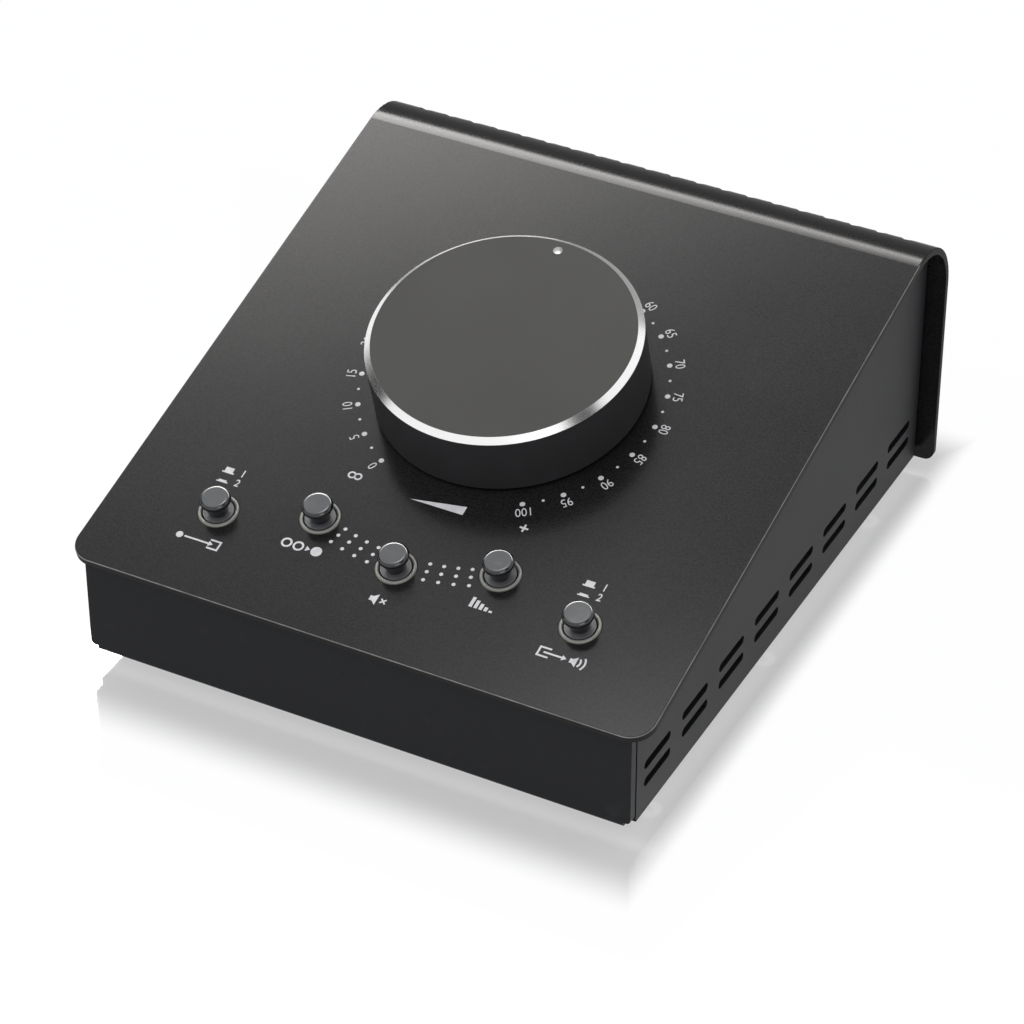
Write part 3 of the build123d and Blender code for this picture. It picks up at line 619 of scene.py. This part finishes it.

# %% [markdown]
# ## Return springs
# A CAD object never changes its shape, so each return spring is hidden and a
# copy with a mesh of its own stands for it, fixed to the case.

# %% Return springs
for button in ("source", "mono", "mute", "dim", "monitor"):
    spring = frame["nodes"][f"{button}_spring"]
    coil = bpy.data.objects.new(f"{button}_return_coil", spring.data.copy())
    bpy.context.scene.collection.objects.link(coil)
    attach(coil, "case")
    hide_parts(f"{button}_spring")
    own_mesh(coil)

# %% [markdown]
# ## Print on the panel
# The scale, the numbers and the signs are screen-printed in pale grey ink, about
# three hundredths of a millimetre thick. Each kind of mark is drawn flat, at the
# origin, given that thickness, laid on the panel and joined to its neighbours of
# the same kind. The ink sinks a hair into the sheet, so no gap can show.

# %% Ink
ink = Finish("pale_grey_ink")
speckle = ink.noise(2800, 3.0, 0.7)
thin = ink.between(ink.noise(700, 3.0), 0.3, 0.7)
ink.surface(
    Base_Color=ink.blend(thin, linear("#c4c4c8"), linear("#d0d0d4")),
    Roughness=speckle * 0.15 + 0.45,
    Normal=ink.relief(speckle, 0.3, 0.01 * mm),
)
ink_height = 0.03
ink_sink = 0.02


def lay_on_panel(marks, name):
    """Joins marks drawn in panel millimetres, lays them on the sheet and inks them."""
    bpy.ops.object.select_all(action="DESELECT")
    for mark in marks:
        mark.select_set(True)
    bpy.context.view_layer.objects.active = marks[0]
    if len(marks) > 1:
        bpy.ops.object.join()
    piece = bpy.context.object
    piece.name = piece.data.name = name
    piece.matrix_world = on_panel @ Matrix.Scale(mm, 4) @ piece.matrix_world
    bpy.ops.object.transform_apply(location=True, rotation=True, scale=True)
    bpy.ops.object.mode_set(mode="EDIT")
    bpy.ops.mesh.select_all(action="SELECT")
    bpy.ops.mesh.remove_doubles(threshold=0.002 * mm)
    bpy.ops.mesh.normals_make_consistent(inside=False)
    bpy.ops.object.mode_set(mode="OBJECT")
    piece.data.materials.clear()
    piece.data.materials.append(ink.material)
    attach(piece, "case")
    print(name, "has", len(piece.data.polygons), "faces")


# %% [markdown]
# ### Dots
# A dot of ink is not a flat coin: the ink draws back at its rim and leaves a low
# crown. One dot is a short cylinder whose top is inset and raised a little. It is
# modelled once at a diameter of one, then copied along the scale, each copy with
# a mesh of its own.

# %% One dot
bpy.ops.object.select_all(action="DESELECT")
bpy.ops.mesh.primitive_cylinder_add(vertices=28, radius=0.5, depth=ink_height)
dot = bpy.context.object
dot.location.z = ink_height / 2
bpy.ops.object.transform_apply(location=True)
bpy.ops.object.mode_set(mode="EDIT")
bpy.ops.mesh.select_all(action="DESELECT")
bpy.ops.object.mode_set(mode="OBJECT")
for polygon in dot.data.polygons:
    polygon.select = polygon.normal.z > 0.9
bpy.ops.object.mode_set(mode="EDIT")
bpy.ops.mesh.inset(thickness=0.09)
bpy.ops.transform.translate(value=(0, 0, ink_height / 3))
bpy.ops.object.mode_set(mode="OBJECT")
print("one dot has", len(dot.data.polygons), "faces")


def dot_at(u, v, across):
    """A copy of the dot, at a place on the panel and with its own mesh."""
    copy = dot.copy()
    copy.data = dot.data.copy()
    bpy.context.collection.objects.link(copy)
    grown = Matrix.Diagonal((across, across, 1, 1))
    copy.matrix_world = Matrix.Translation((u, v, -ink_sink)) @ grown
    return copy


# %% [markdown]
# The scale runs from 0 to 100 over 300 degrees, with 50 straight up the panel. A
# large dot marks every fifth step and a small one lies between each two.

# %% Dial dots
dial_centre = (0.16, knob_v)
dot_circle = 33.73
large_dot, small_dot = 1.2, 0.65
dot_step = 2.5


def dial_place(value, radius):
    """Where a value of the scale lies on a circle round the knob, and its bearing."""
    bearing = math.radians((value - 50) * 3.0)
    u = dial_centre[0] + radius * math.sin(bearing)
    return u, dial_centre[1] + radius * math.cos(bearing), bearing


dial_dots = []
for step in range(round(100 / dot_step) + 1):
    u, v = dial_place(step * dot_step, dot_circle)[:2]
    dial_dots.append(dot_at(u, v, small_dot if step % 2 else large_dot))
lay_on_panel(dial_dots, "dial_dots")

# %% [markdown]
# Between the middle buttons two fields of dots follow circles round the knob,
# which lead the eye from the knob to the row of buttons.

# %% Dot fields
field_circles = (51.0, 53.1, 55.3)
field_angles = (6.9, 10.35, 13.8, 17.2)
field_dot = 0.85
field_dots = []
for circle in field_circles:
    for degrees in field_angles:
        for hand in (-1, 1):
            bearing = math.radians(180 - hand * degrees)
            u = dial_centre[0] + circle * math.sin(bearing)
            v = dial_centre[1] + circle * math.cos(bearing)
            field_dots.append(dot_at(u, v, field_dot))
lay_on_panel(field_dots, "dot_fields")
bpy.data.objects.remove(dot)

# %% [markdown]
# ### Numbers
# The numbers stand round the dots with their heads outward. Blender's own text
# object gives good plain figures. The text gets its thickness, becomes a mesh,
# is made narrower by its matrix, and only then is turned to its place.

# %% Numbers on the dial
figure_height = 2.3
figure_circle = 36.0
figure_squeeze = 0.84
capital_share = 0.73   # of the text size, in Blender's own font


def figures(text, u, v, bearing=0.0, height=figure_height, weight=-0.02):
    """A number in ink, centred on a place and turned clockwise by its bearing."""
    bpy.ops.object.select_all(action="DESELECT")
    bpy.ops.object.text_add(location=(0, 0, 0))
    label = bpy.context.object
    label.data.body = text
    label.data.align_x = "CENTER"
    label.data.align_y = "CENTER"
    label.data.size = height / capital_share
    label.data.offset = weight
    label.data.resolution_u = 4
    label.data.extrude = (ink_height + ink_sink) / 2
    bpy.ops.object.convert(target="MESH")
    label = bpy.context.object
    middle = sum((Vector(corner) for corner in label.bound_box), Vector()) / 8
    centred = Matrix.Translation((-middle.x, -middle.y, (ink_height - ink_sink) / 2))
    narrowed = Matrix.Diagonal((figure_squeeze, 1, 1, 1)) @ centred
    turn = Matrix.Rotation(-bearing, 4, "Z")
    label.matrix_world = Matrix.Translation((u, v, 0)) @ turn @ narrowed
    return label


numbers = []
for value in range(0, 101, 5):
    u, v, bearing = dial_place(value, figure_circle)
    numbers.append(figures(str(value), u, v, bearing))
lay_on_panel(numbers, "dial_numbers")

# %% [markdown]
# ### Signs
# Signs of plain shapes tell what each control does: a rising wedge for volume, an
# arrow into a bracket for the source, circles that become one for mono, falling
# bars for dim, a crossed loudspeaker for mute and a loudspeaker for the monitor.
# Each is a flat curve of straight-sided outlines. An outline inside another cuts
# a hole, and the curve's extrude gives the thickness.


# %% Outlines of the signs
def outline_piece(outlines, u, v):
    """A flat curve through closed outlines, made a mesh and moved to its place."""
    curve = bpy.data.curves.new("sign", "CURVE")
    curve.dimensions = "2D"
    curve.fill_mode = "BOTH"
    curve.extrude = (ink_height + ink_sink) / 2
    for outline in outlines:
        spline = curve.splines.new("POLY")
        spline.points.add(len(outline) - 1)
        for point, (px, py) in zip(spline.points, outline):
            point.co = (px, py, 0, 1)
        spline.use_cyclic_u = True
    sign = bpy.data.objects.new("sign", curve)
    bpy.context.collection.objects.link(sign)
    bpy.ops.object.select_all(action="DESELECT")
    sign.select_set(True)
    bpy.context.view_layer.objects.active = sign
    bpy.ops.object.convert(target="MESH")
    sign = bpy.context.object
    sign.matrix_world = Matrix.Translation((u, v, (ink_height - ink_sink) / 2))
    return sign


def bar(x0, y0, x1, y1):
    """An upright rectangle between two corners."""
    return [(x0, y0), (x1, y0), (x1, y1), (x0, y1)]


def arc(cx, cy, radius, start=0.0, sweep=360.0, steps=28):
    """Points along part of a circle, in degrees from the right."""
    count = steps if sweep == 360.0 else steps + 1
    angles = [math.radians(start + sweep * i / steps) for i in range(count)]
    return [(cx + radius * math.cos(a), cy + radius * math.sin(a)) for a in angles]


def band(cx, cy, radius, width, start, sweep):
    """A curved bar: an outer arc and back along an inner one."""
    outer = arc(cx, cy, radius + width / 2, start, sweep, 12)
    return outer + arc(cx, cy, radius - width / 2, start, sweep, 12)[::-1]


def stroke(x0, y0, x1, y1, width):
    """A straight line of ink with square ends."""
    along = Vector((x1 - x0, y1 - y0)).normalized()
    across = Vector((-along.y, along.x)) * width / 2
    ends = [(x0, y0, 1), (x1, y1, 1), (x1, y1, -1), (x0, y0, -1)]
    return [(px + across.x * way, py + across.y * way) for px, py, way in ends]


# %% Signs of the controls
line, thin_line = 0.42, 0.34
half_sign = 1.3
arrow_half = 0.7
speaker = [(-1.0, -0.55), (-0.35, -0.55), (0.55, -half_sign)]
speaker += [(px, -py) for px, py in speaker[::-1]]


def moved(outline, dx, size=1.0):
    """An outline moved sideways, and resized about its own origin."""
    return [(px * size + dx, py * size) for px, py in outline]


def arrow(x0, x1):
    """An arrow to the right, shaft and head in one outline."""
    neck = x1 - 1.5 * arrow_half
    shaft = [(x0, -line / 2), (neck, -line / 2), (neck, -arrow_half), (x1, 0)]
    return shaft + [(px, -py) for px, py in shaft[-2::-1]]


def bracket(x0, x1):
    """A square bracket with its spine at x1 and its mouth at x0."""
    inner = x1 - line if x1 > x0 else x1 + line
    arm = half_sign - line
    outer = [(x0, -half_sign), (x1, -half_sign), (x1, half_sign), (x0, half_sign)]
    return outer + [(x0, arm), (inner, arm), (inner, -arm), (x0, -arm)]


ring_out, ring_in = 1.25, 0.8
source_sign = [arc(-4.8, 0, 0.8), arrow(-3.6, 3.3), bracket(2.3, 5.0)]
mono_sign = [
    arc(-3.6, 0, ring_out),
    arc(-3.6, 0, ring_in),
    arc(-0.8, 0, ring_out),
    arc(-0.8, 0, ring_in),
    [(1.0, -0.7), (2.0, 0), (1.0, 0.7)],
    arc(3.5, 0, ring_out),
]
bar_width, bar_pitch, bar_fall = 0.75, 1.15, 0.52
dim_sign = []
for place in range(5):
    left = -2.7 + bar_pitch * place
    dim_sign.append(bar(left, -half_sign, left + bar_width, half_sign - bar_fall * place))
mute_sign = [
    moved(speaker, -0.55, 1.1),
    stroke(0.9, -0.55, 2.1, 0.55, thin_line),
    stroke(0.9, 0.55, 1.36, 0.13, thin_line),
    stroke(1.64, -0.13, 2.1, -0.55, thin_line),
]
monitor_sign = [
    bracket(-2.9, -5.6),
    arrow(-4.3, 0.9),
    moved(speaker, 2.6),
    band(2.5, 0, 1.5, line, -40, 80),
    band(2.5, 0, 2.5, line, -36, 72),
]
volume_sign = [[(-6.2, -1.15), (6.2, -1.15), (6.2, 1.15)]]
plus_half, plus_reach = 0.22, 1.0
plus_arms = [
    (-plus_half, -plus_reach), (plus_half, -plus_reach), (plus_half, -plus_half),
    (plus_reach, -plus_half), (plus_reach, plus_half), (plus_half, plus_half),
]
plus_sign = [plus_arms + [(-px, -py) for px, py in plus_arms]]
endless_ring = [arc(0, 0, 0.95), arc(0, 0, 0.55)]
signs = [
    outline_piece(source_sign, -42.7, 13.5),
    outline_piece(mono_sign, -21.3, 19.8),
    outline_piece(mute_sign, 0.2, 13.1),
    outline_piece(dim_sign, 21.5, 19.8),
    outline_piece(monitor_sign, 43.0, 13.5),
    outline_piece(volume_sign, 0.3, 40.9),
    outline_piece(plus_sign, 20.3, 41.2),
    outline_piece(endless_ring, -20.72, 41.2),
    outline_piece(endless_ring, -19.28, 41.2),
]
lay_on_panel(signs, "control_signs")

# %% [markdown]
# Two of the buttons latch. A hat-shaped sign stands for a button that is out and
# a flat one for a button that is in, each with the number of the input or output
# that it picks.


# %% Signs of the latching buttons
def hat(half_brim, low, brim_top, half_crown, high):
    """A crown on a brim: the outline of a button seen from the side."""
    right = [(half_brim, low), (half_brim, brim_top), (half_crown, brim_top), (half_crown, high)]
    return right + [(-px, py) for px, py in right[::-1]]


button_out = [hat(1.4, -0.8, -0.42, 0.98, 0.8)]
button_in = [hat(1.35, -0.35, -0.05, 0.95, 0.35)]
latch_figure, figure_step = 2.0, 3.4
latch_signs = []
for u in (-46.2, 39.8):
    latch_signs.append(outline_piece(button_out, u, 32.8))
    latch_signs.append(outline_piece(button_in, u, 29.7))
    for text, v in (("1", 33.0), ("2", 30.3)):
        latch_signs.append(figures(text, u + figure_step, v, height=latch_figure, weight=0.02))
lay_on_panel(latch_signs, "latch_signs")
